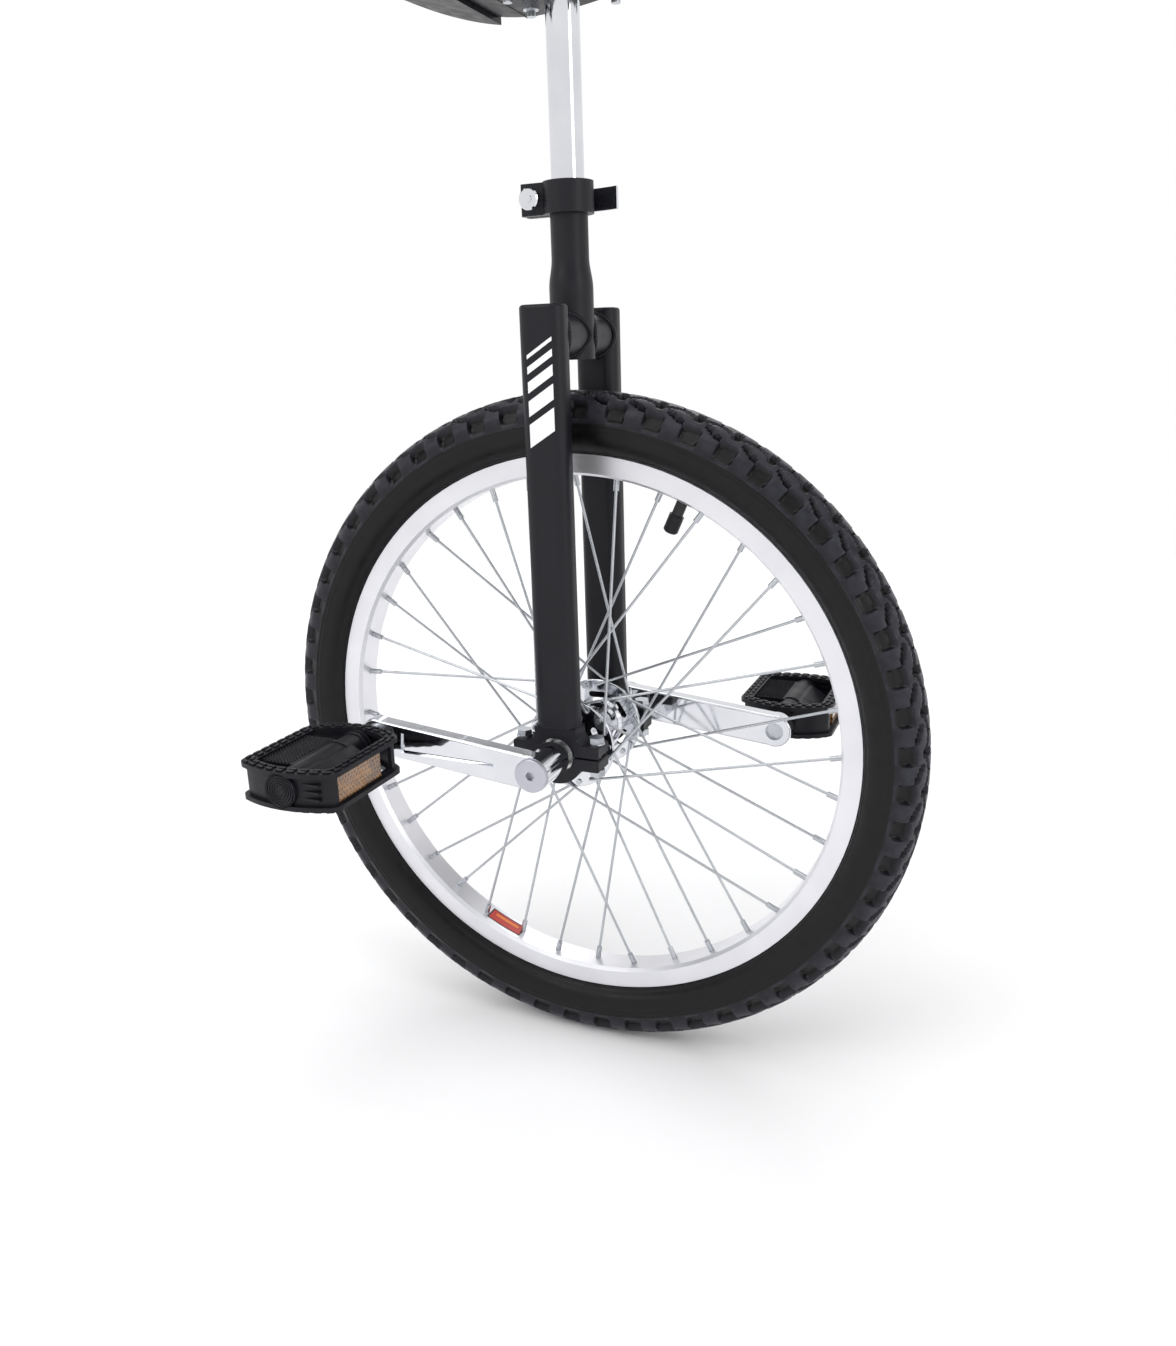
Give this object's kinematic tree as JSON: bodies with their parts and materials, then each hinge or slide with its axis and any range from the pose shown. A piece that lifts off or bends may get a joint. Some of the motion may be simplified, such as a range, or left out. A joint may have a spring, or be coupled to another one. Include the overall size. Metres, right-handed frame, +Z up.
{
  "type": "unicycle",
  "caption": "Unicycle with a knobby tyre, spoked alloy rim, straight-legged black fork, chromed cranks, plastic pedals and a curved saddle on an adjustable post.",
  "frame": {"origin": "on the ground, under the middle of the axle", "axes": "+X forward, +Y to the rider's left along the axle, +Z up along the fork"},
  "size_m": [0.504, 0.404, 0.8262],
  "materials": {
    "black_paint": "satin black powder coat",
    "chrome": "bright chrome plate",
    "zinc_steel": "bright zinc plate",
    "bearing_steel": "ground",
    "rim_alloy": "satin silver",
    "dust_cap_grey": "matt silver",
    "tyre_rubber": "matt moulded rubber",
    "tube_rubber": "matt",
    "tape_cloth": "woven",
    "black_plastic": "fine moulded texture",
    "bush_plastic": "natural",
    "amber_reflector": "clear prismatic",
    "saddle_vinyl": "grained vinyl",
    "saddle_foam": "open foam"
  },
  "bodies": {
    "frame": {"neck_tube": "black_paint", "right_crown_tube": "black_paint", "left_crown_tube": "black_paint", "right_leg": "black_paint", "left_leg": "black_paint", "right_leg_cap": "black_paint", "left_leg_cap": "black_paint", "right_bearing_holder": "black_paint", "left_bearing_holder": "black_paint", "right_bearing_cap": "black_paint", "left_bearing_cap": "black_paint", "holder_bolts": "zinc_steel", "holder_washers": "zinc_steel", "holder_nuts": "zinc_steel", "bearing_outer_races": "bearing_steel", "bearing_balls": "bearing_steel", "bearing_shields": "bearing_steel", "seat_clamp": "black_paint", "clamp_skewer": "chrome", "clamp_nut": "chrome", "clamp_washer": "black_plastic"},
    "clamp_lever": {"clamp_lever": "chrome"},
    "seat": {"seat_post": "chrome", "saddle_bracket": "black_paint", "saddle_base": "black_plastic", "saddle_foam": "saddle_foam", "saddle_cover": "saddle_vinyl", "front_bumper": "black_plastic", "rear_bumper": "black_plastic", "saddle_studs": "zinc_steel", "saddle_nuts": "zinc_steel"},
    "wheel": {"tyre": "tyre_rubber", "inner_tube": "tube_rubber", "rim_tape": "tape_cloth", "rim": "rim_alloy", "rim_joint_pins": "zinc_steel", "valve_stem": "tube_rubber", "valve_cap": "black_plastic", "spokes": "zinc_steel", "nipples": "zinc_steel", "hub_shell": "chrome", "hub_spindle": "zinc_steel", "bearing_inner_races": "bearing_steel", "spindle_spacers": "zinc_steel", "right_crank": "chrome", "left_crank": "chrome", "crank_bolts": "zinc_steel", "dust_caps": "dust_cap_grey", "right_pedal_spindle": "zinc_steel", "left_pedal_spindle": "zinc_steel", "pedal_locknuts": "zinc_steel"},
    "right_pedal": {"right_pedal_body": "black_plastic", "right_pedal_reflectors": "amber_reflector", "right_pedal_cap": "black_plastic", "right_pedal_bushes": "bush_plastic"},
    "left_pedal": {"left_pedal_body": "black_plastic", "left_pedal_reflectors": "amber_reflector", "left_pedal_cap": "black_plastic", "left_pedal_bushes": "bush_plastic"}
  },
  "joints": [
    {"name": "wheel_spin", "type": "hinge", "parent": "frame", "child": "wheel", "pos_m": [0, 0, 0.252], "axis": [0, 1, 0], "continuous": true},
    {"name": "right_pedal_spin", "type": "hinge", "parent": "wheel", "child": "right_pedal", "pos_m": [-0.12626, 0, 0.26572], "axis": [0, 1, 0], "continuous": true},
    {"name": "left_pedal_spin", "type": "hinge", "parent": "wheel", "child": "left_pedal", "pos_m": [0.12626, 0, 0.23828], "axis": [0, 1, 0], "continuous": true},
    {"name": "seat_height", "type": "slide", "parent": "frame", "child": "seat", "axis": [0, 0, 1], "range_m": [-0.018, 0.055]},
    {"name": "clamp_lever_turn", "type": "hinge", "parent": "frame", "child": "clamp_lever", "pos_m": [-0.0235, 0.0155, 0.627], "axis": [0, 0, 1], "range_deg": [0, 150]}
  ]
}
